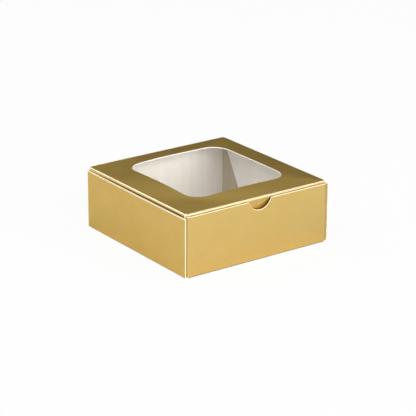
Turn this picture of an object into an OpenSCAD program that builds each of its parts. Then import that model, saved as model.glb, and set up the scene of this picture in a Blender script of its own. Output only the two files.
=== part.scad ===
// Favor box: a folding carton of foil-laminated paperboard, closed, with a windowed tuck-in lid.
// X runs left to right, the front wall faces -Y, and the box stands on Z = 0 with the origin
// under the middle of its base.

/* [Box] */
// Outside width of the tray, left to right
box_w = 101.6; // [80:0.2:160]
// Outside depth of the tray, front to back
box_d = 101.6; // [80:0.2:160]
// Height of the closed box
box_h = 38.1; // [34:0.1:80]
// Thickness of the paperboard
board_t = 0.7; // [0.4:0.05:1]
// How far the front wall's cut top edge stays below the lid's top face
front_drop = 1.6; // [1.6:0.1:3]
// How far the side walls' cut top edges stay below the lid's top face
side_drop = 2.6; // [2.5:0.1:4]

/* [Folds] */
// Inside radius of the lid's folds and of the upright corner folds
fold_in_r = 0.5; // [0.4:0.05:1]
// Inside radius of the folds along the base
base_in_r = 0.1; // [0.05:0.05:0.5]
// Clearance between the bead of a crease and the fold round it
crease_gap = 0.05; // [0.03:0.01:0.1]
// Widest angle that the lid opens to
lid_open = 110; // [90:1:125]

/* [Corner tabs] */
// Length of each glued tab from its fold to its free end
tab_len = 18; // [8:0.5:25]
// Slope of a tab's upper and lower edges
tab_taper = 14; // [0:1:20]
// How far a tab's upper edge starts below the side wall's
tab_nick = 0.3; // [0.3:0.1:3]
// Thickness of a layer of glue
glue_t = 0.1; // [0.05:0.05:0.2]
// Distance of a glue patch from the edges of its tab
glue_margin = 3; // [2:0.5:3.5]

/* [Thumb notch] */
// Radius of the half-moon notch in the front wall
notch_r = 8.3; // [6:0.1:14]
// How far the notch reaches below the wall's top edge
notch_depth = 5.8; // [3:0.1:6]
// How far the notch lies to the right of the wall's middle
notch_x = 1; // [-10:0.5:10]

/* [Lid window] */
// Distance from the tray's left face to the window
frame_left = 18.4; // [10.6:0.1:30]
// Distance from the tray's right face to the window
frame_right = 15.5; // [10.6:0.1:30]
// Distance from the tray's front face to the window
frame_front = 18.3; // [10:0.1:30]
// Distance from the tray's back face to the window
frame_back = 13.5; // [8.6:0.1:30]
// Corner radius of the window
window_r = 10.6; // [4:0.1:14]

/* [Window film] */
// Thickness of the clear film
film_t = 0.2; // [0.1:0.05:0.4]
// How far the film laps under the lid all round the window
film_lap = 6; // [5:0.5:7]
// Width of the ring of glue on that lap
film_glue_w = 4; // [2:0.5:4.5]

/* [Lid flaps] */
// Length of the tuck flap from its crease to its free edge
tuck_len = 17; // [10:0.5:19]
// Angle that the closed tuck flap leans in from upright
tuck_lean = 6; // [5:0.5:10]
// Radius of the tuck flap's two free corners
tuck_corner_r = 8; // [3:0.5:9]
// Slope of the tuck flap's ends
tuck_taper = 3; // [0:0.5:10]
// Gap between the tuck flap's fold and the front wall
tuck_gap = 0.3; // [0.3:0.05:1]
// Gap between each end of the tuck flap and the crease of the side flap next to it
tuck_end_gap = 1.9; // [1.8:0.1:4]
// Distance from the tray's side faces in to the lid's side folds
side_inset = 0.4; // [0.3:0.05:1.2]
// Angle at which a side flap first turns in under the lid's edge, to pass inside the corner tabs
step_lean = 45; // [40:1:50]
// Length of a side flap from its crease to its free edge
side_len = 28; // [12:0.5:30]
// Angle that a closed side flap leans in from upright
side_lean = 8; // [0:0.5:10]
// Slope of a side flap's ends
side_taper = 38; // [20:1:45]
// Radius of a side flap's two free corners
side_corner_r = 3; // [1:0.5:6]
// Gap between a side flap and the corner tabs
side_gap = 0.2; // [0.15:0.05:1]
// Distance from the ends of the lid's side folds to the back wall and to the tuck flap's crease
side_end_gap = 2.8; // [2:0.1:5]

/* [Hidden] */

foil = "#D8B56A";
bare_board = "#F2ECE4";
clear_film = "#E8EEF0";
glue = "#EDE6CF";

$fn = 96;
cut = 1;
half_w = box_w / 2;
half_d = box_d / 2;
front_top = box_h - front_drop;
side_top = box_h - side_drop;
fold_r = fold_in_r + board_t;
base_fold_r = base_in_r + board_t;

// The upright folds of the corners: the front and back walls turn into tabs behind the side walls
tab_out = half_w - board_t - glue_t;
corner_x = tab_out - fold_r;
corner_y = half_d - fold_r;
tab_foot = base_fold_r + glue_t;
tab_top = side_top - tab_nick;
tab_drop = tab_len * tan(tab_taper);

// The lid's back crease: the bead's centre is the inside corner of lid and back wall
hinge_y = half_d - board_t;
hinge_z = box_h - board_t;
bead_r = board_t;
hinge_bevel = lid_open - 90 + 4;

// The lid's other folds, each round its own crease line
lid_half_w = half_w - side_inset;
side_x = lid_half_w - fold_r;
crease_z = box_h - fold_r;
tuck_y = -(half_d - board_t - tuck_gap - fold_r);
side_front = tuck_y + side_end_gap;
side_back = hinge_y - side_end_gap;
lid_fold_back = hinge_y - 2 * board_t;
crease_bead_r = fold_in_r - crease_gap;

// A side flap's bend, below and inside its crease: from there it hangs clear of the corner tabs
bend_x = tab_out - board_t - side_gap - side_x;
step_len = (fold_r * cos(step_lean) - bend_x) / sin(step_lean);
bend_y = -fold_r * sin(step_lean) - step_len * cos(step_lean);

tuck_half_w = side_x - crease_bead_r - tuck_end_gap;
lid_under = box_h - board_t;

window_w = box_w - frame_left - frame_right;
window_d = box_d - frame_front - frame_back;

// Frames for folds: local X and Y lie across the fold, local Z along it
module along_x(y, z) translate([0, y, z]) rotate([90, 0, 90]) children();
module along_y(x, z) translate([x, 0, z]) rotate([90, 0, 0]) children();

// Section of folded board with its crease at the origin: a flat part runs back along -X, at
// Y = in_r, and the fold turns down from it by a right angle and the lean
module fold_section(in_r, flat_len, lean) {
    out_r = in_r + board_t;
    past = 2 * out_r;
    difference() {
        union() {
            circle(out_r);
            translate([-flat_len, -out_r]) square([flat_len, 2 * out_r]);
        }
        circle(in_r);
        translate([-flat_len - cut, -in_r]) square([flat_len + cut, 2 * in_r]);
        polygon([[0, 0], [past, -past * tan(lean)], [past, -past], [-flat_len - cut, -past],
                 [-flat_len - cut, 0]]);
    }
}

module folded_strip(in_r, flat_len, lean, length) {
    linear_extrude(length, center = true) fold_section(in_r, flat_len, lean);
}

module box_between(low, high) {
    translate(low) cube(high - low);
}

module rounded_rect(w, d, r) {
    square([w - 2 * r, d], center = true);
    square([w, d - 2 * r], center = true);
    for (sx = [-1, 1], sy = [-1, 1])
        translate([sx * (w / 2 - r), sy * (d / 2 - r)]) circle(r);
}

// Flap outline: the crease is along X at Y = 0, the ends slope inwards and the free corners are round
module flap_outline(crease_half, length, taper, r) {
    run = length * tan(taper);
    corner_half = crease_half - run - r * (1 - sin(taper)) / cos(taper);
    slope_x = corner_half + r * cos(taper);
    slope_y = length - r + r * sin(taper);
    polygon([[-crease_half, 0], [crease_half, 0], [slope_x, slope_y], [corner_half, length],
             [-corner_half, length], [-slope_x, slope_y]]);
    for (s = [-1, 1])
        translate([s * corner_half, length - r]) circle(r);
}

module bottom_panel() {
    color(bare_board)
        box_between([-half_w + base_fold_r, -half_d + base_fold_r, 0],
                    [half_w - base_fold_r, half_d - base_fold_r, board_t]);
}

// A wall without its ends: the fold along the base and the upright panel above it
module wall(reach, half_len, top) {
    along_y(reach - base_fold_r, base_fold_r)
        rotate([0, 0, -90]) folded_strip(base_in_r, top - base_fold_r, 0, 2 * half_len);
}

module right_wall() {
    color(foil) wall(half_w, half_d, side_top);
}

module left_wall() {
    mirror([1, 0, 0]) right_wall();
}

module front_wall() {
    color(foil)
        difference() {
            rotate([0, 0, -90]) wall(half_d, corner_x, front_top);
            translate([notch_x, -half_d + board_t + cut, front_top - notch_depth + notch_r])
                rotate([90, 0, 0]) cylinder(r = notch_r, h = board_t + 2 * cut);
        }
}

// The back wall stops level with the crease and carries the bead that the lid turns on
module back_wall() {
    color(foil) {
        rotate([0, 0, 90]) wall(half_d, corner_x, hinge_z);
        along_x(hinge_y, hinge_z) cylinder(r = bead_r, h = 2 * corner_x, center = true);
    }
}

// A corner tab at the front right: its upright fold and the panel glued behind the right wall
module corner_tab() {
    intersection() {
        translate([corner_x, -corner_y, front_top / 2])
            rotate([0, 0, -90]) folded_strip(fold_in_r, tab_len, 0, front_top);
        translate([0, -corner_y, 0])
            rotate([90, 0, 90])
                linear_extrude(half_w)
                    polygon([[-half_d, tab_foot], [0, tab_foot], [tab_len, tab_foot + tab_drop],
                             [tab_len, tab_top - tab_drop], [0, tab_top], [0, front_top],
                             [-half_d, front_top]]);
    }
}

module front_right_tab() {
    color(foil) corner_tab();
}

module front_left_tab() {
    mirror([1, 0, 0]) front_right_tab();
}

module back_right_tab() {
    mirror([0, 1, 0]) front_right_tab();
}

module back_left_tab() {
    mirror([1, 0, 0]) back_right_tab();
}

module corner_glue() {
    patch_l = tab_len - 2 * glue_margin;
    patch_h = tab_top - tab_foot - 2 * tab_drop - 2 * glue_margin;
    color(glue)
        for (sx = [-1, 1], sy = [-1, 1])
            translate([sx * (tab_out + glue_t / 2), sy * (corner_y - tab_len / 2), (tab_foot + tab_top) / 2])
                cube([glue_t, patch_l, patch_h], center = true);
}

module window_outline(margin) {
    translate([(frame_left - frame_right) / 2, (frame_front - frame_back) / 2])
        rounded_rect(window_w + 2 * margin, window_d + 2 * margin, window_r);
}

// The lid: a flat panel with the window, its front and side folds, and a seat for the hinge bead
module lid_panel() {
    color(foil)
        difference() {
            lid_board();
            translate([0, 0, lid_under - cut])
                linear_extrude(board_t + 2 * cut) window_outline(0);
            along_x(hinge_y, hinge_z)
                cylinder(r = bead_r + crease_gap, h = 2 * side_x + 2 * cut, center = true);
            along_x(hinge_y, hinge_z)
                rotate([0, 0, hinge_bevel])
                    translate([0, 0, -side_x - cut])
                        cube([2 * fold_r, 3 * board_t, 2 * side_x + 2 * cut]);
        }
}

// The lid's board before its cuts: flat panel, front fold and side folds. As on a real carton, the
// folds end at the panel's corners.
module lid_board() {
    rotate([0, 0, -90])
        along_y(-tuck_y, crease_z)
            folded_strip(fold_in_r, hinge_y - tuck_y, tuck_lean, 2 * side_x);
    for (s = [0, 1])
        mirror([s, 0, 0])
            translate([0, (tuck_y + lid_fold_back) / 2, 0])
                along_y(side_x, crease_z)
                    folded_strip(fold_in_r, 2 * side_x, step_lean, lid_fold_back - tuck_y);
}

module window_film() {
    color(clear_film, 0.35)
        translate([0, 0, lid_under - glue_t - film_t])
            linear_extrude(film_t) window_outline(film_lap);
}

module film_glue() {
    color(glue)
        translate([0, 0, lid_under - glue_t])
            linear_extrude(glue_t)
                difference() {
                    window_outline(film_lap);
                    window_outline(film_lap - film_glue_w);
                }
}

// The bead that a flap turns on, along the local Z axis inside the lid's fold, and the web from it
// to the flap's board, which lies beyond local X = fold_in_r
module flap_bead(crease_half) {
    cylinder(r = crease_bead_r, h = 2 * crease_half, center = true);
    box_between([0, -crease_bead_r, -crease_half], [fold_in_r + board_t / 2, -crease_gap, crease_half]);
}

// A flap's panel, in the local YZ plane, hanging down from Y = 0 with its outer face at X = 0
module flap_panel(crease_half, length, taper, r) {
    translate([-board_t, 0, 0])
        rotate([0, 90, 0])
            rotate([0, 0, 180])
                linear_extrude(board_t) flap_outline(crease_half, length, taper, r);
}

// The strip of a side flap between its crease and its bend, as a section across the crease
module step_section() {
    out = [cos(step_lean), -sin(step_lean)];
    down = [-sin(step_lean), -cos(step_lean)];
    panel_out = [cos(side_lean), -sin(side_lean)];
    bend = [bend_x, bend_y];
    mitre = board_t / (1 + out * panel_out) * (out + panel_out);
    polygon([fold_r * out + crease_gap * down, bend, bend - board_t * panel_out, bend - mitre,
             fold_in_r * out + crease_gap * down]);
}

module right_side_flap() {
    crease_half = (side_back - side_front) / 2;
    color(foil)
        translate([0, (side_front + side_back) / 2, 0])
            along_y(side_x, crease_z) {
                rotate([0, 0, -step_lean]) flap_bead(crease_half);
                linear_extrude(2 * crease_half, center = true) step_section();
                translate([bend_x, bend_y, 0])
                    rotate([0, 0, -side_lean])
                        flap_panel(crease_half, side_len - step_len, side_taper, side_corner_r);
            }
}

module left_side_flap() {
    mirror([1, 0, 0]) right_side_flap();
}

module tuck_flap() {
    color(foil)
        rotate([0, 0, -90])
            along_y(-tuck_y, crease_z)
                rotate([0, 0, -tuck_lean]) {
                    flap_bead(tuck_half_w);
                    translate([fold_r, -crease_gap, 0])
                        flap_panel(tuck_half_w, tuck_len - crease_gap, tuck_taper, tuck_corner_r);
                }
}

bottom_panel();
front_wall();
back_wall();
left_wall();
right_wall();
front_left_tab();
front_right_tab();
back_left_tab();
back_right_tab();
corner_glue();
lid_panel();
window_film();
film_glue();
tuck_flap();
left_side_flap();
right_side_flap();
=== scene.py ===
import math

import bmesh
import bpy
import numpy as np
from mathutils import Matrix, Vector, noise


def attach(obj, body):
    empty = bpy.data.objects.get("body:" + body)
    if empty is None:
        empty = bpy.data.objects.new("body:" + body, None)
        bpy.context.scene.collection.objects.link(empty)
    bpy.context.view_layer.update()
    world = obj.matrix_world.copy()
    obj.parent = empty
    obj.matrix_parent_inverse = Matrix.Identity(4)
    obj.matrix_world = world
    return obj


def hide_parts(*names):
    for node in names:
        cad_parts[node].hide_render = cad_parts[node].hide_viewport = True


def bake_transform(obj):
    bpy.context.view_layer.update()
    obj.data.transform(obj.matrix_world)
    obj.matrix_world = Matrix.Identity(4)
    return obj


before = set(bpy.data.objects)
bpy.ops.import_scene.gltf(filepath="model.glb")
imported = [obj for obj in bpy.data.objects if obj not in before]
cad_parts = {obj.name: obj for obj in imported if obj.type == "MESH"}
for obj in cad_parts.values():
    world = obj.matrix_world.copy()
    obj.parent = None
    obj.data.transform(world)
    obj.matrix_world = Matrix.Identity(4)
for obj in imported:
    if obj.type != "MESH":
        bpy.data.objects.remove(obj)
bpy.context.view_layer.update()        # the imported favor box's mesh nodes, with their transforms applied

mm = 0.001

# Folded sizes of the carton in millimetres, as in the part's source
carton = {
    "halfWidth": 50.8,       # tray, outside
    "halfDepth": 50.8,
    "height": 38.1,          # lid closed
    "board": 0.7,            # thickness of the paperboard
    "frontTop": 36.55,       # cut top edge of the front wall, with its rolled edge
    "sideTop": 35.95,        # cut top edges of the side walls
    "foldInside": 0.5,       # inside radius of the lid's and the corners' folds
    "baseInside": 0.1,       # inside radius of the folds along the base
    "cornerX": 48.8,         # upright corner folds turn about this line
    "cornerY": 49.6,
    "hingeY": 50.1,          # back crease
    "hingeZ": 37.4,
    "creaseZ": 36.9,         # lid's front and side creases
    "frontCreaseY": -48.6,
    "sideCreaseX": 49.2,
    "sideFoldBack": 48.7,    # where the lid's side folds end
}
foldOutside = carton["foldInside"] + carton["board"]
baseOutside = carton["baseInside"] + carton["board"]


# Camera

camera = {
    "azimuth": 36.132,       # degrees round from straight ahead, towards the box's left
    "elevation": 20.357,
    "roll": 0.345,
    "distance": 1.0700,      # metres from the middle of the box
    "right": -0.00091,       # how far the view is slid sideways and up, in metres
    "up": 0.00250,
    "lens": 156.03,          # mm on a 36 mm sensor
}


def placeCamera():
    az, el, roll = (math.radians(camera[k]) for k in ("azimuth", "elevation", "roll"))
    back = Vector((-math.sin(az) * math.cos(el), -math.cos(az) * math.cos(el), math.sin(el)))
    right = (-back).cross(Vector((0, 0, 1))).normalized()
    up = right.cross(-back)
    tilted = math.cos(roll) * right + math.sin(roll) * up
    upright = -math.sin(roll) * right + math.cos(roll) * up
    target = Vector((0, 0, carton["height"] * mm / 2))
    spot = target + back * camera["distance"] - tilted * camera["right"] - upright * camera["up"]
    data = bpy.data.cameras.new("camera")
    data.lens = camera["lens"]
    data.sensor_width = 36
    data.clip_start = 0.01
    data.clip_end = 20
    eye = bpy.data.objects.new("camera", data)
    turn = Matrix((tilted, upright, back)).transposed().to_4x4()
    eye.matrix_world = Matrix.Translation(spot) @ turn
    bpy.context.scene.collection.objects.link(eye)
    bpy.context.scene.camera = eye


placeCamera()
print("camera placed")


# Materials

def linearColour(hexColour):
    parts = [int(hexColour[i:i + 2], 16) / 255 for i in (1, 3, 5)]
    return tuple(c / 12.92 if c <= 0.04045 else ((c + 0.055) / 1.055) ** 2.4 for c in parts) + (1.0,)


def addNode(tree, kind, settings=None, inputs=None, links=None):
    node = tree.nodes.new(kind)
    for key, value in (settings or {}).items():
        setattr(node, key, value)
    for key, value in (inputs or {}).items():
        node.inputs[key].default_value = value
    for key, socket in (links or {}).items():
        tree.links.new(socket, node.inputs[key])
    return node


def newMaterial(name):
    material = bpy.data.materials.new(name)
    material.use_nodes = True
    material.node_tree.nodes.clear()
    return material, material.node_tree


foilLook = {
    "gold": "#E7C87E",       # vacuum-metallised gold laminate, seen straight on
    "goldDeep": "#E1C074",
    "rimTint": "#FFE89E",    # what it keeps of its colour at a grazing view
    "creaseHighlight": "#E9D2A8",    # along a fold: paler, a painted highlight standing in for the glint on the crease
    "creaseHighlightDeep": "#E3C893",
    "creaseHighlightRim": "#FFF2D0",
    "baseFoldShade": "#B3924F",     # along the base fold: darker, painted shade for the dark contact with the table that the fold mirrors
    "baseFoldShadeDeep": "#A5843F",
    "baseFoldShadeRim": "#D9BC78",
    "roughness": 0.36,       # satin: lamps show as broad soft glows
    "roughnessSpread": 0.05,
    "fibreMm": 1.2,          # real fibres are 0.03 mm wide, drawn as coarse clumps so that they show
    "fibreHeightMm": 0.06,
    "waveMm": 26,            # slow waves of the board under the foil
    "waveHeightMm": 0.6,
    "cloudMm": 9,            # patches where the laminate is a little duller
}


# Gold foil laminate on folding boxboard: a thin metallised film, satin from the board's fibres under it
def makeGoldFoil(name, light, deep, rim):
    material, tree = newMaterial(name)
    place = addNode(tree, "ShaderNodeTexCoord").outputs["Object"]
    clouds = addNode(tree, "ShaderNodeTexNoise",
                     inputs={"Scale": 1 / (foilLook["cloudMm"] * mm), "Detail": 3.0},
                     links={"Vector": place})
    tint = addNode(tree, "ShaderNodeMix", {"data_type": "RGBA"},
                   {"A": linearColour(light), "B": linearColour(deep)},
                   {"Factor": clouds.outputs["Fac"]})
    rough = addNode(tree, "ShaderNodeMapRange",
                    inputs={"From Min": 0.3, "From Max": 0.7,
                            "To Min": foilLook["roughness"] - foilLook["roughnessSpread"] / 2,
                            "To Max": foilLook["roughness"] + foilLook["roughnessSpread"] / 2},
                    links={"Value": clouds.outputs["Fac"]})
    fibres = addNode(tree, "ShaderNodeTexNoise",
                     inputs={"Scale": 1 / (foilLook["fibreMm"] * mm), "Detail": 4.0},
                     links={"Vector": place})
    waves = addNode(tree, "ShaderNodeTexNoise",
                    inputs={"Scale": 1 / (foilLook["waveMm"] * mm), "Detail": 1.0},
                    links={"Vector": place})
    waveBump = addNode(tree, "ShaderNodeBump",
                       inputs={"Strength": 0.25, "Distance": foilLook["waveHeightMm"] * mm},
                       links={"Height": waves.outputs["Fac"]})
    fibreBump = addNode(tree, "ShaderNodeBump",
                        inputs={"Strength": 0.12, "Distance": foilLook["fibreHeightMm"] * mm},
                        links={"Height": fibres.outputs["Fac"], "Normal": waveBump.outputs["Normal"]})
    surface = addNode(tree, "ShaderNodeBsdfPrincipled",
                      inputs={"Metallic": 1.0, "Specular Tint": linearColour(rim)},
                      links={"Base Color": tint.outputs["Result"], "Roughness": rough.outputs["Result"],
                             "Normal": fibreBump.outputs["Normal"]})
    addNode(tree, "ShaderNodeOutputMaterial", links={"Surface": surface.outputs["BSDF"]})
    return material


boardLook = {
    "white": "#FBF7F0",      # uncoated back of bleached board
    "shade": "#F5EEE4",
    "windowEdge": "#FFFCF5", # cut edge of the window, cut from the white side
    "edge": "#FFF3D2",       # cut edge, with a little of the laminate dragged over it
    "edgeShade": "#F9E8BC",
    "tab": "#CCBB98",        # tabs, darker and warmer: painted shade of the corners behind the side flaps
    "tabShade": "#BEAB84",
    "fleckMm": 1.4,          # fibre clumps, coarser than the real 0.1 mm
    "fleckHeightMm": 0.08,
    "streakMm": 3.0,         # faint streaks, drawn out 20 times as long as they are wide
    "streakSquash": 0.05,
    "furMm": 0.5,            # fibres torn up along a cut, coarser than the real 0.05 mm
    "furHeightMm": 0.1,
}


# Bleached folding boxboard, uncoated inside: matt and faintly streaked along the machine direction
def makeWhiteBoard(name, light, shade):
    material, tree = newMaterial(name)
    place = addNode(tree, "ShaderNodeTexCoord").outputs["Object"]
    stretch = addNode(tree, "ShaderNodeMapping", inputs={"Scale": (1.0, 1.0, boardLook["streakSquash"])},
                      links={"Vector": place})
    streaks = addNode(tree, "ShaderNodeTexNoise",
                      inputs={"Scale": 1 / (boardLook["streakMm"] * mm), "Detail": 2.0},
                      links={"Vector": stretch.outputs["Vector"]})
    flecks = addNode(tree, "ShaderNodeTexNoise",
                     inputs={"Scale": 1 / (boardLook["fleckMm"] * mm), "Detail": 5.0},
                     links={"Vector": place})
    both = addNode(tree, "ShaderNodeMath", {"operation": "MULTIPLY"},
                   links={0: streaks.outputs["Fac"], 1: flecks.outputs["Fac"]})
    spread = addNode(tree, "ShaderNodeMapRange", inputs={"From Min": 0.12, "From Max": 0.4},
                     links={"Value": both.outputs["Value"]})
    tint = addNode(tree, "ShaderNodeMix", {"data_type": "RGBA"},
                   {"A": linearColour(shade), "B": linearColour(light)},
                   {"Factor": spread.outputs["Result"]})
    bump = addNode(tree, "ShaderNodeBump",
                   inputs={"Strength": 0.2, "Distance": boardLook["fleckHeightMm"] * mm},
                   links={"Height": flecks.outputs["Fac"]})
    surface = addNode(tree, "ShaderNodeBsdfPrincipled",
                      inputs={"Metallic": 0.0, "Roughness": 0.8, "Specular IOR Level": 0.3},
                      links={"Base Color": tint.outputs["Result"], "Normal": bump.outputs["Normal"]})
    addNode(tree, "ShaderNodeOutputMaterial", links={"Surface": surface.outputs["BSDF"]})
    return material


# Die-cut edge of the same board: the bare white core, slightly furry from the cutting rule
def makeCutEdge(name, light, shade):
    material, tree = newMaterial(name)
    place = addNode(tree, "ShaderNodeTexCoord").outputs["Object"]
    fur = addNode(tree, "ShaderNodeTexNoise",
                  inputs={"Scale": 1 / (boardLook["furMm"] * mm), "Detail": 4.0},
                  links={"Vector": place})
    tint = addNode(tree, "ShaderNodeMix", {"data_type": "RGBA"},
                   {"A": linearColour(shade), "B": linearColour(light)},
                   {"Factor": fur.outputs["Fac"]})
    bump = addNode(tree, "ShaderNodeBump",
                   inputs={"Strength": 0.35, "Distance": boardLook["furHeightMm"] * mm},
                   links={"Height": fur.outputs["Fac"]})
    surface = addNode(tree, "ShaderNodeBsdfPrincipled", inputs={"Roughness": 0.9, "Specular IOR Level": 0.2},
                      links={"Base Color": tint.outputs["Result"], "Normal": bump.outputs["Normal"]})
    addNode(tree, "ShaderNodeOutputMaterial", links={"Surface": surface.outputs["BSDF"]})
    return material


filmLook = {
    "tint": "#F8FAFA",
    "alpha": 0.06,           # share of the film that is seen
    "rippleMm": 30,          # slow waves of a film held only at its edge
    "rippleHeightMm": 1.0,
}


# Clear polyester window film, cast and glossy: almost nothing but a faint slow ripple in its gloss
def makeClearFilm():
    material, tree = newMaterial("clearPolyesterFilm")
    place = addNode(tree, "ShaderNodeTexCoord").outputs["Object"]
    slow = addNode(tree, "ShaderNodeTexNoise",
                   inputs={"Scale": 1 / (filmLook["rippleMm"] * mm), "Detail": 1.0},
                   links={"Vector": place})
    bump = addNode(tree, "ShaderNodeBump",
                   inputs={"Strength": 0.3, "Distance": filmLook["rippleHeightMm"] * mm},
                   links={"Height": slow.outputs["Fac"]})
    surface = addNode(tree, "ShaderNodeBsdfPrincipled",
                      inputs={"Base Color": linearColour(filmLook["tint"]), "Roughness": 0.06, "IOR": 1.57,
                              "Alpha": filmLook["alpha"]},
                      links={"Normal": bump.outputs["Normal"]})
    addNode(tree, "ShaderNodeOutputMaterial", links={"Surface": surface.outputs["BSDF"]})
    return material


glueLook = {
    "light": "#F3EEDF",
    "deep": "#EDE6CF",
    "lumpMm": 4,             # where the glue was squeezed out unevenly
    "lumpHeightMm": 0.2,
}


# Dried white dispersion glue: lumpy, half glossy and slightly yellow
def makeDriedGlue():
    material, tree = newMaterial("driedDispersionGlue")
    place = addNode(tree, "ShaderNodeTexCoord").outputs["Object"]
    lumps = addNode(tree, "ShaderNodeTexNoise",
                    inputs={"Scale": 1 / (glueLook["lumpMm"] * mm), "Detail": 3.0},
                    links={"Vector": place})
    tint = addNode(tree, "ShaderNodeMix", {"data_type": "RGBA"},
                   {"A": linearColour(glueLook["deep"]), "B": linearColour(glueLook["light"])},
                   {"Factor": lumps.outputs["Fac"]})
    bump = addNode(tree, "ShaderNodeBump",
                   inputs={"Strength": 0.4, "Distance": glueLook["lumpHeightMm"] * mm},
                   links={"Height": lumps.outputs["Fac"]})
    surface = addNode(tree, "ShaderNodeBsdfPrincipled", inputs={"Roughness": 0.45},
                      links={"Base Color": tint.outputs["Result"], "Normal": bump.outputs["Normal"]})
    addNode(tree, "ShaderNodeOutputMaterial", links={"Surface": surface.outputs["BSDF"]})
    return material


goldFoil = makeGoldFoil("goldFoilLaminate", foilLook["gold"], foilLook["goldDeep"], foilLook["rimTint"])
# the folds' foil is painted paler: a painted highlight along the creases
creaseHighlightFoil = makeGoldFoil("goldFoilPaintedCreaseHighlight", foilLook["creaseHighlight"], foilLook["creaseHighlightDeep"],
                           foilLook["creaseHighlightRim"])
# darker foil on the base folds: painted shade of the contact with the table
baseFoldShadeFoil = makeGoldFoil("goldFoilPaintedBaseShade", foilLook["baseFoldShade"], foilLook["baseFoldShadeDeep"],
                          foilLook["baseFoldShadeRim"])
whiteBoard = makeWhiteBoard("bleachedBoardInside", boardLook["white"], boardLook["shade"])
# the tabs' board is painted darker: painted shade in the box's corners
tabBoardPaintedShade = makeWhiteBoard("boardInsidePaintedShadeOnTabs", boardLook["tab"], boardLook["tabShade"])
cutEdge = makeCutEdge("dieCutBoardEdge", boardLook["edge"], boardLook["edgeShade"])
windowEdge = makeCutEdge("dieCutWindowEdge", boardLook["windowEdge"], boardLook["white"])
clearFilm = makeClearFilm()
driedGlue = makeDriedGlue()

# which of a sheet's finishes covers what
finishOf = {"foilFace": 0, "innerFace": 1, "cutEdges": 2, "shadedBaseRows": 3}
boardFinishes = (goldFoil, whiteBoard, cutEdge)
wallFinishes = (goldFoil, whiteBoard, cutEdge, baseFoldShadeFoil)
shadedTabFinishes = (goldFoil, tabBoardPaintedShade, cutEdge)
creaseHighlightFinishes = (creaseHighlightFoil, whiteBoard, cutEdge)
windowFinishes = (goldFoil, whiteBoard, windowEdge)
print("materials made")


# Board sheets: every piece is a grid of points in millimetres, one layer for each face of the board

def buildSheet(name, layers, finishes, cutSides=(), ring=False, edgeRound=0.09, bevelFinish=-1,
               highlightTopRow=False, shadedBaseRows=0, capped=False):
    # the first layer is the foil face. Its first rows may get the darker foil, a painted shade, and its last
    # row the cut edge's pale colour, a painted highlight. A ring joins each row's two ends, and the sides in
    # cutSides get a rounded edge
    rows, cols = layers[0].shape[:2]
    points = np.concatenate([layer.reshape(-1, 3) for layer in layers]) * mm
    last = len(layers) - 1

    def index(layer, i, j):
        return (layer * rows + i) * cols + j % cols

    across = range(cols if ring else cols - 1)
    faces, finish = [], []
    for i in range(rows - 1):
        outside = finishOf["foilFace"]
        # the first rows take the darker foil, a painted shade
        if i < shadedBaseRows:
            outside = finishOf["shadedBaseRows"]
        # the last row takes the cut edge's pale colour, a painted highlight
        elif highlightTopRow and i == rows - 2:
            outside = finishOf["cutEdges"]
        for j in across:
            faces.append([index(0, i, j), index(0, i, j + 1), index(0, i + 1, j + 1), index(0, i + 1, j)])
            faces.append([index(last, i + 1, j), index(last, i + 1, j + 1), index(last, i, j + 1),
                          index(last, i, j)])
            finish += [outside, finishOf["innerFace"]]
    rims = {"first": [((0, j), (0, j + 1)) for j in across],
            "last": [((rows - 1, j + 1), (rows - 1, j)) for j in across]}
    if capped:
        # the innermost ring is closed on both faces in place of a rim
        del rims["last"]
        faces.append([index(0, rows - 1, j) for j in range(cols)])
        faces.append([index(last, rows - 1, j) for j in reversed(range(cols))])
        finish += [finishOf["foilFace"], finishOf["innerFace"]]
    if not ring:
        rims["left"] = [((i + 1, 0), (i, 0)) for i in range(rows - 1)]
        rims["right"] = [((i, cols - 1), (i + 1, cols - 1)) for i in range(rows - 1)]
    sharp, rounded = set(), set()
    for side, pairs in rims.items():
        for (i, j), (k, m) in pairs:
            for layer in range(last):
                faces.append([index(layer, k, m), index(layer, i, j), index(layer + 1, i, j),
                              index(layer + 1, k, m)])
                finish.append(finishOf["cutEdges"])
            for layer in (0, last):
                edge = frozenset((index(layer, i, j), index(layer, k, m)))
                (rounded if side in cutSides else sharp).add(edge)
    if not ring:
        for i in (0, rows - 1):
            for j in (0, cols - 1):
                for layer in range(last):
                    sharp.add(frozenset((index(layer, i, j), index(layer + 1, i, j))))
    mesh = bpy.data.meshes.new(name)
    mesh.from_pydata([tuple(p) for p in points], [], faces)
    for material in finishes:
        mesh.materials.append(material)
    mesh.polygons.foreach_set("material_index", finish)
    mesh.polygons.foreach_set("use_smooth", [True] * len(faces))
    shell = bmesh.new()
    shell.from_mesh(mesh)
    bmesh.ops.recalc_face_normals(shell, faces=shell.faces)
    weight = shell.edges.layers.float.new("bevel_weight_edge")
    for edge in shell.edges:
        ends = frozenset(v.index for v in edge.verts)
        edge.smooth = ends not in sharp and ends not in rounded
        edge[weight] = 1.0 if ends in rounded else 0.0
    shell.to_mesh(mesh)
    shell.free()
    sheet = bpy.data.objects.new(name, mesh)
    bpy.context.scene.collection.objects.link(sheet)
    if cutSides:
        bevel = sheet.modifiers.new("cut edge rounding", "BEVEL")
        bevel.limit_method = "WEIGHT"
        bevel.width = edgeRound * mm
        bevel.segments = 2
        bevel.material = bevelFinish
    even = sheet.modifiers.new("even shading", "WEIGHTED_NORMAL")
    even.keep_sharp = True
    return sheet


def boardLayers(surface, alongs, acrosses, depths):
    # surface gives the point for a place along, a place across and a depth under the foil
    return [np.array([[surface(u, v, depth) for v in acrosses] for u in alongs]) for depth in depths]


def addPiece(piece, body, replaced=()):
    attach(piece, body)
    if replaced:
        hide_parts(*replaced)


def evenly(low, high, count):
    return list(np.linspace(low, high, count))


# Tray: base, walls and corner tabs

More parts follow.
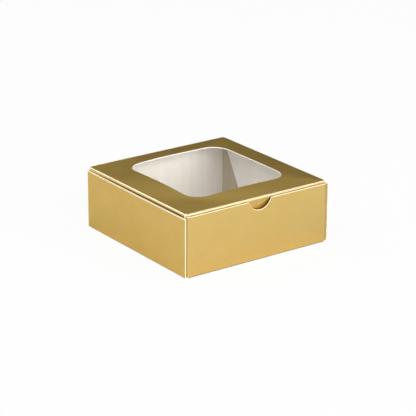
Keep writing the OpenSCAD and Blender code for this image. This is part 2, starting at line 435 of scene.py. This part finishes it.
tray = {
    "bow": 0.12,             # how far the panels stray from flat, in mm
    "bowLength": 38,         # how far apart the hollows and swellings of that are
    "splayLeft": 0.4,        # how far the side walls swell out at the middle of their tops
    "splayRight": 0.3,
    "splayPower": 1.3,       # 1 for an even lean, more to keep the swelling near the top
    "standOff": 0.7,         # gap behind a side wall's front edge
    "shadedBaseRows": 7,         # rows of the base fold, of 8, darkened with painted shade
    "sideTopHighlight": 0.8,         # strip along a cut top painted in the cut edge's pale colour: a painted highlight of the rolled edge
    "frontTopHighlight": 0.3,
    "columns": 49,           # points across a wall
    "edgeRound": 0.28,       # cut tops are a little rolled by the cutting rule
    "notchRadius": 8.3,
    "notchDepth": 6.0,
    "notchMiddle": 1.0,
    "tabLength": 18,
    "tabTop": 35.2,
    "tabTaper": 14,          # degrees
    "tabFollow": 3,          # how soon a tab comes to follow its side wall's swelling
    "glue": 0.1,             # thickness of the glue
    "glueMargin": 3,         # from its patch to the tab's edges
    "glueSquareness": 0.5,   # 1 for a patch like an ellipse, towards 0 for one like a rectangle
}
boardDepths = (0, carton["board"])


def unevenness(x, y, seed):
    # how real board strays from flat, changing slowly from about -1 to 1: the noise alone reaches 0.6
    return noise.noise(Vector((x / tray["bowLength"] + seed, y / tray["bowLength"], 0))) * 1.6


def splayAt(side, y, up):
    # a side wall swells out between its corners, more and more towards its free top edge, and
    # its front edge stands off the corner
    height = max(0, up - baseOutside) / (carton["sideTop"] - baseOutside)
    swell = max(0, 1 - (y / carton["halfDepth"]) ** 2) * height ** tray["splayPower"]
    splay = tray["splayLeft"] if side < 0 else tray["splayRight"]
    return splay * swell + tray["standOff"] * (0.5 - y / (2 * carton["halfDepth"]))


def wallSurface(outward, sideways, reach, top, seed, side=0):
    # the wall's section: a quarter fold from the base, then straight up to top(t)
    centre = reach - baseOutside

    def surface(s, t, depth):
        radius = baseOutside - depth
        if s <= 0:
            angle = s * math.pi / 2
            out, up = centre + radius * math.cos(angle), baseOutside + radius * math.sin(angle)
            if side:
                out += splayAt(side, t * sideways[1], up) * (1 + s)
        else:
            out, up = reach - depth, baseOutside + s * (top(t) - baseOutside)
            share = (t + carton["halfDepth"]) / (2 * carton["halfDepth"])
            fade = math.sin(math.pi * min(max(share, 0), 1)) * s
            out -= tray["bow"] * fade * (0.5 + 0.5 * unevenness(t, up, seed))
            if side:
                out += splayAt(side, t * sideways[1], up)
        return tuple(out * outward + t * sideways + up * np.array((0, 0, 1)))

    return surface


foldSteps = evenly(-1, 0, 9)
riseSteps = foldSteps + evenly(0, 1, 13)[1:]


def buildWall(name, outward, sideways, reach, top, columns, cutSides, seed, side=0):
    # side is 1 for the right wall, -1 for the left one and 0 for the two that carry the tabs
    surface = wallSurface(np.array(outward), np.array(sideways), reach, top, seed, side)
    openTop = "last" in cutSides
    # a strip under the open top is painted pale, a painted highlight
    strip = tray["sideTopHighlight"] if side else tray["frontTopHighlight"]
    steps = riseSteps[:-1] + [1 - strip / carton["sideTop"], 1] if openTop else riseSteps
    layers = boardLayers(surface, steps, columns, boardDepths)
    wall = buildSheet(name + "_board", layers, wallFinishes, cutSides, edgeRound=tray["edgeRound"],
                      bevelFinish=finishOf["cutEdges"], highlightTopRow=openTop, shadedBaseRows=tray["shadedBaseRows"])
    addPiece(wall, "tray", [name])


# the thumb notch is an arc whose centre stands this far above the front wall's top
notchRise = tray["notchRadius"] - tray["notchDepth"]
notchHalf = math.sqrt(tray["notchRadius"] ** 2 - notchRise ** 2)
notchTurn = math.acos(notchRise / tray["notchRadius"])


def frontTopAt(t):
    across = t - tray["notchMiddle"]
    if abs(across) >= notchHalf:
        return carton["frontTop"]
    middle = carton["frontTop"] + notchRise
    return middle - math.sqrt(max(tray["notchRadius"] ** 2 - across * across, 0))


def sideTopAt(t):
    return carton["sideTop"]


def backTopAt(t):
    return carton["hingeZ"]


notchColumns = [tray["notchMiddle"] + tray["notchRadius"] * math.sin(a)
                for a in evenly(-notchTurn, notchTurn, 29)]
frontColumns = (evenly(-carton["cornerX"], notchColumns[0], 20)[:-1] + notchColumns
                + evenly(notchColumns[-1], carton["cornerX"], 20)[1:])
sideColumns = evenly(-carton["halfDepth"], carton["halfDepth"], tray["columns"])
backColumns = evenly(-carton["cornerX"], carton["cornerX"], tray["columns"])

buildWall("front_wall", (0, -1, 0), (1, 0, 0), carton["halfDepth"], frontTopAt, frontColumns, ("last",), 3.1)
buildWall("back_wall", (0, 1, 0), (-1, 0, 0), carton["halfDepth"], backTopAt, backColumns, (), 8.4)
buildWall("right_wall", (1, 0, 0), (0, 1, 0), carton["halfWidth"], sideTopAt, sideColumns,
          ("last", "left", "right"), 1.7, 1)
buildWall("left_wall", (-1, 0, 0), (0, -1, 0), carton["halfWidth"], sideTopAt, sideColumns,
          ("last", "left", "right"), 5.2, -1)


def baseSurface(x, y, depth):
    return (x, y, depth)


baseX = carton["halfWidth"] - baseOutside
baseY = carton["halfDepth"] - baseOutside
baseLayers = boardLayers(baseSurface, evenly(-baseX, baseX, 13), evenly(-baseY, baseY, 13), boardDepths)
base = buildSheet("bottom_panel_board", baseLayers, boardFinishes)
addPiece(base, "tray", ["bottom_panel"])


def tabSurface(signX, signY):
    # the tab at the right end of the front wall, turned over by the signs: a fold, then the tab itself
    foot = baseOutside + tray["glue"]
    panelX = carton["halfWidth"] - carton["board"] - tray["glue"]

    def surface(s, v, depth):
        radius = foldOutside - depth
        if s <= 0:
            angle = s * math.pi / 2
            x = carton["cornerX"] + radius * math.cos(angle)
            y = -carton["cornerY"] + radius * math.sin(angle)
            low, high = foot, carton["frontTop"]
        else:
            x, y = panelX - depth, -carton["cornerY"] + s
            drop = s * math.tan(math.radians(tray["tabTaper"]))
            low, high = foot + drop, tray["tabTop"] - drop
        z = low + v * (high - low)
        if s > 0:
            x += splayAt(signX, signY * y, z) * min(1, s / tray["tabFollow"])
        return (signX * x, signY * y, z)

    return surface


for tabName, signX, signY in (("front_right_tab", 1, 1), ("front_left_tab", -1, 1),
                              ("back_right_tab", 1, -1), ("back_left_tab", -1, -1)):
    # the tab's sloping ends begin just past its fold
    alongs = foldSteps + [0.02] + evenly(0, tray["tabLength"], 10)[1:]
    layers = boardLayers(tabSurface(signX, signY), alongs, evenly(0, 1, 9), boardDepths)
    # the tabs take the darker board, a painted shade
    tab = buildSheet(tabName + "_board", layers, shadedTabFinishes, ("last", "left", "right"))
    addPiece(tab, "tray", [tabName])


def buildCornerGlue():
    # one patch in each corner, squeezed out to a soft outline between the tab and the side wall
    drop = tray["tabLength"] * math.tan(math.radians(tray["tabTaper"]))
    foot = baseOutside + tray["glue"]
    halfTall = (tray["tabTop"] - foot) / 2 - drop - tray["glueMargin"]
    halfLong = tray["tabLength"] / 2 - tray["glueMargin"]
    middleZ = (tray["tabTop"] + foot) / 2
    middleY = carton["cornerY"] - tray["tabLength"] / 2
    square = tray["glueSquareness"]
    shells = []
    for signX in (-1, 1):
        for signY in (-1, 1):
            layers = []
            for depth in (0, tray["glue"]):
                grid = []
                for f in evenly(1, 0.05, 5):
                    row = []
                    for a in evenly(0, 2 * math.pi, 41)[:-1]:
                        c, n = math.cos(a), math.sin(a)
                        y = middleY + f * halfLong * math.copysign(abs(c) ** square, c)
                        z = middleZ + f * halfTall * math.copysign(abs(n) ** square, n)
                        x = carton["halfWidth"] - carton["board"] - depth + splayAt(signX, signY * y, z)
                        row.append((signX * x, signY * y, z))
                    grid.append(row)
                layers.append(np.array(grid))
            shells.append(buildSheet("corner_glue_patch", layers, (driedGlue, driedGlue, driedGlue),
                                     ring=True, capped=True))
    patches = bmesh.new()
    for shell in shells:
        patches.from_mesh(shell.data)
    mesh = bpy.data.meshes.new("corner_glue_patches")
    patches.to_mesh(mesh)
    patches.free()
    mesh.materials.append(driedGlue)
    mesh.polygons.foreach_set("material_index", [0] * len(mesh.polygons))
    piece = bpy.data.objects.new("corner_glue_patches", mesh)
    bpy.context.scene.collection.objects.link(piece)
    for shell in shells:
        bpy.data.objects.remove(shell)
    addPiece(piece, "tray", ["corner_glue"])


buildCornerGlue()

print("tray folded")


# Back crease: the rounded bead of board that the lid turns on

crease = {
    "segments": 24,
    "gap": 0.05,             # between the bead and the lid's edge, in mm
    "foilTo": 100,           # degrees up from straight back to which the foil covers the bead
}


def buildBackCrease():
    half = carton["cornerX"]
    turns = evenly(0, 2 * math.pi, crease["segments"] + 1)[:-1]
    bead = bmesh.new()
    rings = []
    for x in (-half, half):
        rings.append([bead.verts.new((x * mm, (carton["hingeY"] + carton["board"] * math.cos(a)) * mm,
                                      (carton["hingeZ"] + carton["board"] * math.sin(a)) * mm))
                      for a in turns])
    count = len(turns)
    for k in range(count):
        after = (k + 1) % count
        side = bead.faces.new((rings[0][k], rings[0][after], rings[1][after], rings[1][k]))
        side.smooth = True
        middle = (turns[k] + math.pi / count) % (2 * math.pi)
        covered = middle < math.radians(crease["foilTo"])
        side.material_index = finishOf["foilFace"] if covered else finishOf["innerFace"]
    for ring in rings:
        bead.faces.new(ring).material_index = finishOf["cutEdges"]
    bmesh.ops.recalc_face_normals(bead, faces=bead.faces)
    mesh = bpy.data.meshes.new("back_crease")
    bead.to_mesh(mesh)
    bead.free()
    for material in boardFinishes:
        mesh.materials.append(material)
    piece = bpy.data.objects.new("back_crease", mesh)
    bpy.context.scene.collection.objects.link(piece)
    addPiece(piece, "tray")


buildBackCrease()


# Lid: panel with the rounded window, and its three folds

lid = {
    "windowLeft": -32.4, "windowRight": 35.3,
    "windowFront": -32.5, "windowBack": 37.3,
    "windowRadius": 10.6,
    "windowRound": 0.3,      # chamfer of the window's cut edge
    "outerRadius": 0.02,     # the panel's own corners are square
    "hingeSlope": 24,        # degrees that the panel's back edge leans over the bead of the back crease
    "rings": 13,             # points from the window to the creases
    "cornerSteps": 12,       # round a corner
    "sideSteps": 16,         # along a side
    "rise": 1.05,            # how far the board bulges up from the creases to the window
    "fullness": 0.3,         # 0 for an even climb, more to climb soon after the crease
    "soften": 0.1,           # how softly the climbs from two creases meet
    "slackFront": 0.9,       # share of the rise lost at the window's front left corner
    "slackLeft": 1.0,        # at its back left one
    "slackRest": 0.3,        # at the two right ones
}


def riseAt(x, y):
    # 0 along the four creases, growing to the full rise at the window and less at its corners
    side, soft = carton["sideCreaseX"], lid["soften"]
    climbs = ((x + side) / (lid["windowLeft"] + side),
              (side - x) / (side - lid["windowRight"]),
              (y - carton["frontCreaseY"]) / (lid["windowFront"] - carton["frontCreaseY"]),
              (carton["hingeY"] - y) / (carton["hingeY"] - lid["windowBack"]))
    least = -soft * math.log(sum(math.exp(-min(c, 3) / soft) for c in climbs))
    climb = min(max(least, 0), 1)
    half = (lid["windowRight"] - lid["windowLeft"]) / 2
    offX = (x - (lid["windowRight"] + lid["windowLeft"]) / 2) / half
    offY = (y - (lid["windowBack"] + lid["windowFront"]) / 2) / half
    slack = lid["slackRest"]
    if offX < 0:
        slack = lid["slackFront"] if offY < 0 else lid["slackLeft"]
    corner = 1 - slack * min(1, abs(offX * offY)) ** 2
    return lid["rise"] * climb * (1 + lid["fullness"] - lid["fullness"] * climb) * corner


def arcPoint(x, y, radius, degrees):
    turn = math.radians(degrees)
    return x + radius * math.cos(turn), y + radius * math.sin(turn)


def between(start, end, share):
    return tuple(a + (b - a) * share for a, b in zip(start, end))


def roundedOutline(left, right, front, back, radius, cornerSteps, sideSteps):
    # points round a rounded rectangle, counter-clockwise from the front side's left end, with as
    # many on each corner and each side whatever its size
    corners = ((right - radius, front + radius, -90), (right - radius, back - radius, 0),
               (left + radius, back - radius, 90), (left + radius, front + radius, 180))
    outline = []
    for k, (x, y, start) in enumerate(corners):
        beforeX, beforeY, beforeStart = corners[k - 1]
        sideStart = arcPoint(beforeX, beforeY, radius, beforeStart + 90)
        sideEnd = arcPoint(x, y, radius, start)
        outline += [between(sideStart, sideEnd, f) for f in evenly(0, 1, sideSteps + 1)[:-1]]
        outline += [arcPoint(x, y, radius, start + a) for a in evenly(0, 90, cornerSteps + 1)[:-1]]
    return outline


def lidPanelLayers():
    inner = roundedOutline(lid["windowLeft"], lid["windowRight"], lid["windowFront"], lid["windowBack"],
                           lid["windowRadius"], lid["cornerSteps"], lid["sideSteps"])
    layers = []
    for depth in (0, carton["board"] / 2, carton["board"]):
        # the back edge clears the bead of the back crease while the lid turns
        up = carton["board"] - depth
        seat = carton["board"] + crease["gap"]
        reach = math.sqrt(max(seat * seat - up * up, 0))
        slope = up * math.tan(math.radians(lid["hingeSlope"]))
        back = carton["hingeY"] - max(reach, slope)
        outer = roundedOutline(-carton["sideCreaseX"], carton["sideCreaseX"], carton["frontCreaseY"], back,
                               lid["outerRadius"], lid["cornerSteps"], lid["sideSteps"])
        grid = []
        for f in evenly(0, 1, lid["rings"]):
            spots = [between(i, o, f) for i, o in zip(inner, outer)]
            grid.append([(x, y, carton["height"] - depth + (riseAt(x, y) if f < 1 else 0))
                         for x, y in spots])
        layers.append(np.array(grid))
    return layers


panel = buildSheet("lid_panel_board", lidPanelLayers(), windowFinishes, ("first",), ring=True,
                   edgeRound=lid["windowRound"], bevelFinish=finishOf["cutEdges"])
addPiece(panel, "lid", ["lid_panel"])


# Folds of the lid: each bends from the lid's panel to a flap

fold = {
    "steps": 25,             # points round the bend, and along it
    "squareEnd": 0.29,       # share of the bend at either end that stays with its own panel
}


def foldSurface(point, outward, along, lean):
    upward = np.array((0, 0, 1))

    def surface(s, t, depth):
        # s runs from 0 at the lid's flat panel to 1 at the flap
        angle = math.radians(90 - s * (90 + lean))
        radius = foldOutside - depth
        return tuple(np.array(point) + t * np.array(along)
                     + radius * math.cos(angle) * np.array(outward) + radius * math.sin(angle) * upward)

    return surface


def buildFold(name, point, outward, along, lean, low, high):
    surface = foldSurface(point, outward, along, lean)
    layers = boardLayers(surface, evenly(0, 1, fold["steps"]), evenly(low, high, fold["steps"]), boardDepths)
    # the fold's foil face takes the paler foil, a painted crease highlight
    strip = buildSheet(name, layers, creaseHighlightFinishes, ("left", "right"))
    lidEnd, flapEnd = (np.array(surface(s, 0, 0)) for s in (0, 1))
    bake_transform(strip)


# Lid flaps: the tuck flap leans in and bows back out, a side flap first steps in past the corner tabs

flaps = {
    "tuckLength": 17,
    "tuckLean": 18,          # degrees in from upright at the crease
    "tuckEndLean": -14,      # the same at the free edge, where it leans out
    "tuckTaper": 3,          # degrees that its ends slant
    "tuckCorner": 8,         # radius of its free corners
    "tuckHalf": 46.85,       # half its width at the crease
    "sideLength": 28,
    "sideLean": 8,
    "sideTaper": 38,
    "sideCorner": 3,
    "sideFront": -45.8,      # where the side flaps begin and end along the lid
    "sideBack": 47.3,
    "stepLean": 45,
    "stepLength": 1.34,      # along the board
    "stepRound": 0.3,        # radius of the bend below the step, on the foil side
    "columns": 33,           # points across a flap
}


def flapHalf(creaseHalf, length, taper, corner):
    # distances down the panel with the half width there, with a round free corner
    tilt = math.radians(taper)
    cornerHalf = creaseHalf - length * math.tan(tilt) - corner * (1 - math.sin(tilt)) / math.cos(tilt)
    slopeDown = length - corner + corner * math.sin(tilt)
    rows = [(d, creaseHalf - d * math.tan(tilt)) for d in evenly(0, slopeDown, 9)]
    for a in evenly(taper, 90, 10)[1:]:
        turn = math.radians(a)
        rows.append((length - corner + corner * math.sin(turn), cornerHalf + corner * math.cos(turn)))
    return rows


# Both kinds of flap are laid out in rows down from the crease. Each row gives the place of the foil
# face out and down from the crease, the lean there and the half width

def steppedRows(rows):
    # steep at first, round a bend, then straight down at the flap's own lean
    steep, angle = math.radians(flaps["stepLean"]), math.radians(flaps["sideLean"])
    bend, topHalf = flaps["stepRound"], rows[0][1]
    out, down = foldOutside * math.cos(steep), foldOutside * math.sin(steep)
    trim = bend * math.tan((steep - angle) / 2)
    laid = [(out - d * math.sin(steep), down + d * math.cos(steep), steep, topHalf)
            for d in evenly(0, flaps["stepLength"] - trim, 4)]
    centreOut = laid[-1][0] + bend * math.cos(steep)
    centreDown = laid[-1][1] - bend * math.sin(steep)
    for lean in evenly(steep, angle, 7)[1:]:
        laid.append((centreOut - bend * math.cos(lean), centreDown + bend * math.sin(lean), lean, topHalf))
    out, down = laid[-1][:2]
    for d, half in rows[1:]:
        laid.append((out - d * math.sin(angle), down + d * math.cos(angle), angle, half))
    return laid


def bowedRows(rows):
    # a flap that springs back against the wall: its lean turns evenly from the crease to the free edge
    topLean, endLean = flaps["tuckLean"], flaps["tuckEndLean"]

    def leanAt(d):
        return math.radians(topLean + (endLean - topLean) * d / rows[-1][0])

    out, down = foldOutside * math.cos(leanAt(0)), foldOutside * math.sin(leanAt(0))
    laid = [(out, down, leanAt(0), rows[0][1])]
    for (before, _), (d, half) in zip(rows, rows[1:]):
        out -= (d - before) * math.sin(leanAt((before + d) / 2))
        down += (d - before) * math.cos(leanAt((before + d) / 2))
        laid.append((out, down, leanAt(d), half))
    return laid


def buildFlap(name, body, node, point, outward, along, laid, middle):
    upward = np.array((0, 0, 1))

    def surface(row, v, depth):
        out, down, angle, half = row
        out -= depth * math.cos(angle)
        down -= depth * math.sin(angle)
        return tuple(np.array(point) + out * np.array(outward) - down * upward
                     + np.array(along) * (middle + v * half))

    layers = boardLayers(surface, laid, evenly(-1, 1, flaps["columns"]), boardDepths)
    flap = buildSheet(name, layers, boardFinishes, ("last", "left", "right"))
    addPiece(flap, body, [node])


frontPoint = (0, carton["frontCreaseY"], carton["creaseZ"])
rightPoint = (carton["sideCreaseX"], 0, carton["creaseZ"])
leftPoint = (-carton["sideCreaseX"], 0, carton["creaseZ"])
sideMiddle = (flaps["sideFront"] + flaps["sideBack"]) / 2
sideHalf = (flaps["sideBack"] - flaps["sideFront"]) / 2

buildFold("front_crease", frontPoint, (0, -1, 0), (1, 0, 0), flaps["tuckLean"],
          -carton["sideCreaseX"], carton["sideCreaseX"])
tuckRows = bowedRows(flapHalf(flaps["tuckHalf"], flaps["tuckLength"], flaps["tuckTaper"],
                              flaps["tuckCorner"]))
buildFlap("tuck_flap_board", "tuck", "tuck_flap", frontPoint, (0, -1, 0), (1, 0, 0), tuckRows, 0)

sideRows = steppedRows(flapHalf(sideHalf, flaps["sideLength"] - flaps["stepLength"], flaps["sideTaper"],
                                flaps["sideCorner"]))
for side, body, point, outward in (("right", "right_flap", rightPoint, (1, 0, 0)),
                                   ("left", "left_flap", leftPoint, (-1, 0, 0))):
    buildFold(side + "_crease", point, outward, (0, 1, 0), flaps["stepLean"],
              carton["frontCreaseY"], carton["sideFoldBack"])
    buildFlap(side + "_side_flap_board", body, side + "_side_flap", point, outward, (0, 1, 0), sideRows,
              sideMiddle)
print("lid folded")


# Window film under the lid, and the glue that holds it

film = {
    "lap": 6,                # how far it reaches past the window
    "top": 37.3,
    "thickness": 0.2,
    "sag": 0.3,              # how far it hangs down at the middle
    "sagShare": 0.8,         # share of the way out at which the sag ends
    "glue": 0.1,
    "glueWidth": 4,
    "rings": 22,             # points from the edge to the middle
    "cornerSteps": 10,       # round a corner
    "sideSteps": 12,         # along a side
}


def lapOutline(margin):
    return roundedOutline(lid["windowLeft"] - margin, lid["windowRight"] + margin,
                          lid["windowFront"] - margin, lid["windowBack"] + margin, lid["windowRadius"],
                          film["cornerSteps"], film["sideSteps"])


def buildFilm():
    # its rings shrink to a small one in the middle, which is closed
    outline = lapOutline(film["lap"])
    middle = ((lid["windowLeft"] + lid["windowRight"]) / 2, (lid["windowFront"] + lid["windowBack"]) / 2)
    layers = []
    for depth in (0, film["thickness"]):
        grid = []
        for f in evenly(1, 0.02, film["rings"]):
            sag = film["sag"] * max(0, 1 - (f / film["sagShare"]) ** 2)
            spots = [between(middle, spot, f) for spot in outline]
            grid.append([(x, y, film["top"] - depth - sag + riseAt(x, y)) for x, y in spots])
        layers.append(np.array(grid))
    return buildSheet("window_film_sheet", layers, (clearFilm, clearFilm, clearFilm), ring=True, capped=True)


def buildFilmGlue():
    outer, inner = lapOutline(film["lap"]), lapOutline(film["lap"] - film["glueWidth"])
    layers = []
    for depth in (0, film["glue"]):
        grid = []
        for f in evenly(0, 1, 5):
            spots = [between(o, i, f) for o, i in zip(outer, inner)]
            grid.append([(x, y, film["top"] + film["glue"] - depth + riseAt(x, y)) for x, y in spots])
        layers.append(np.array(grid))
    return buildSheet("film_glue_ring", layers, (driedGlue, driedGlue, driedGlue), ring=True)


addPiece(buildFilm(), "lid", ["window_film"])
addPiece(buildFilmGlue(), "lid", ["film_glue"])
print("film and glue done")


# Floor and light

studio = {
    "floor": "#E2E2E2",
    "floorHalf": 4,          # metres
    "floorDrop": 0.02,       # mm below the base, so that the two never meet
    "floorSeen": 0.94,       # share of the floor that the eye gets as plain white
    "floorMirrored": 0.1,    # the same share in what the foil and the film mirror
    "horizonGlow": 0.03,     # strength of the room's light up to horizonTo degrees
    "horizonTo": 9,
    "skyGlow": 0.235,        # and from skyFrom degrees up
    "skyFrom": 27,
    "aimHeight": 0.02,       # the softboxes look at this height in the box, in metres
    # degrees round from the front towards the right, degrees up, metres away, width, height, watts
    "softboxes": {
        "key": (3, 26, 1.4, 1.5, 0.9, 20.4),
        "left": (-107, 37, 1.4, 2.3, 1.6, 13.0),
        "right": (70, 53, 1.4, 0.5, 0.5, 3.1),
        "side": (-155, 34, 1.4, 0.5, 0.4, 2.6),
        "back": (149, 44, 1.4, 0.6, 0.6, 0.6),
    },
}


def buildFloor():
    floorMesh = bmesh.new()
    bmesh.ops.create_grid(floorMesh, x_segments=8, y_segments=8, size=studio["floorHalf"])
    mesh = bpy.data.meshes.new("floor")
    floorMesh.to_mesh(mesh)
    floorMesh.free()
    material, tree = newMaterial("whitePaperSweep")
    path = addNode(tree, "ShaderNodeLightPath")
    mirrored = addNode(tree, "ShaderNodeMath", {"operation": "MAXIMUM"},
                       links={0: path.outputs["Is Glossy Ray"], 1: path.outputs["Is Transmission Ray"]})
    inFoil = addNode(tree, "ShaderNodeMath", {"operation": "MULTIPLY"}, {1: studio["floorMirrored"]},
                     {0: mirrored.outputs["Value"]})
    share = addNode(tree, "ShaderNodeMath", {"operation": "MULTIPLY_ADD"}, {1: studio["floorSeen"]},
                    {0: path.outputs["Is Camera Ray"], 2: inFoil.outputs["Value"]})
    paper = addNode(tree, "ShaderNodeBsdfDiffuse", inputs={"Color": linearColour(studio["floor"])})
    glow = addNode(tree, "ShaderNodeEmission", inputs={"Color": (1, 1, 1, 1), "Strength": 1.0})
    mixed = addNode(tree, "ShaderNodeMixShader", links={0: share.outputs["Value"], 1: paper.outputs["BSDF"],
                                                        2: glow.outputs["Emission"]})
    addNode(tree, "ShaderNodeOutputMaterial", links={"Surface": mixed.outputs["Shader"]})
    mesh.materials.append(material)
    floor = bpy.data.objects.new("floor", mesh)
    floor.location = (0, 0, -studio["floorDrop"] * mm)
    bpy.context.scene.collection.objects.link(floor)


def addSoftbox(name, azimuth, elevation, distance, width, height, watts):
    turn, climb = math.radians(azimuth), math.radians(elevation)
    place = distance * Vector((math.cos(climb) * math.sin(turn), -math.cos(climb) * math.cos(turn),
                               math.sin(climb)))
    data = bpy.data.lights.new(name, "AREA")
    data.shape = "RECTANGLE"
    data.size = width
    data.size_y = height
    data.energy = watts
    lamp = bpy.data.objects.new(name, data)
    lamp.location = place
    aim = Vector((0, 0, studio["aimHeight"])) - place
    lamp.rotation_euler = aim.to_track_quat("-Z", "Y").to_euler()
    bpy.context.scene.collection.objects.link(lamp)


def lightRoom():
    world = bpy.data.worlds.new("studio")
    bpy.context.scene.world = world
    world.use_nodes = True
    tree = world.node_tree
    tree.nodes.clear()
    place = addNode(tree, "ShaderNodeTexCoord").outputs["Generated"]
    parts = addNode(tree, "ShaderNodeSeparateXYZ", links={"Vector": place})
    glow = addNode(tree, "ShaderNodeMapRange", {"interpolation_type": "SMOOTHSTEP"},
                   {"From Min": math.sin(math.radians(studio["horizonTo"])),
                    "From Max": math.sin(math.radians(studio["skyFrom"])),
                    "To Min": studio["horizonGlow"], "To Max": studio["skyGlow"]},
                   {"Value": parts.outputs["Z"]})
    sky = addNode(tree, "ShaderNodeBackground", inputs={"Color": (1, 1, 1, 1)},
                  links={"Strength": glow.outputs["Result"]})
    addNode(tree, "ShaderNodeOutputWorld", links={"Surface": sky.outputs["Background"]})
    for name, values in studio["softboxes"].items():
        addSoftbox(name + " softbox", *values)


buildFloor()
lightRoom()
bpy.context.scene.view_settings.view_transform = "Standard"
print("studio lit")

bpy.context.view_layer.update()
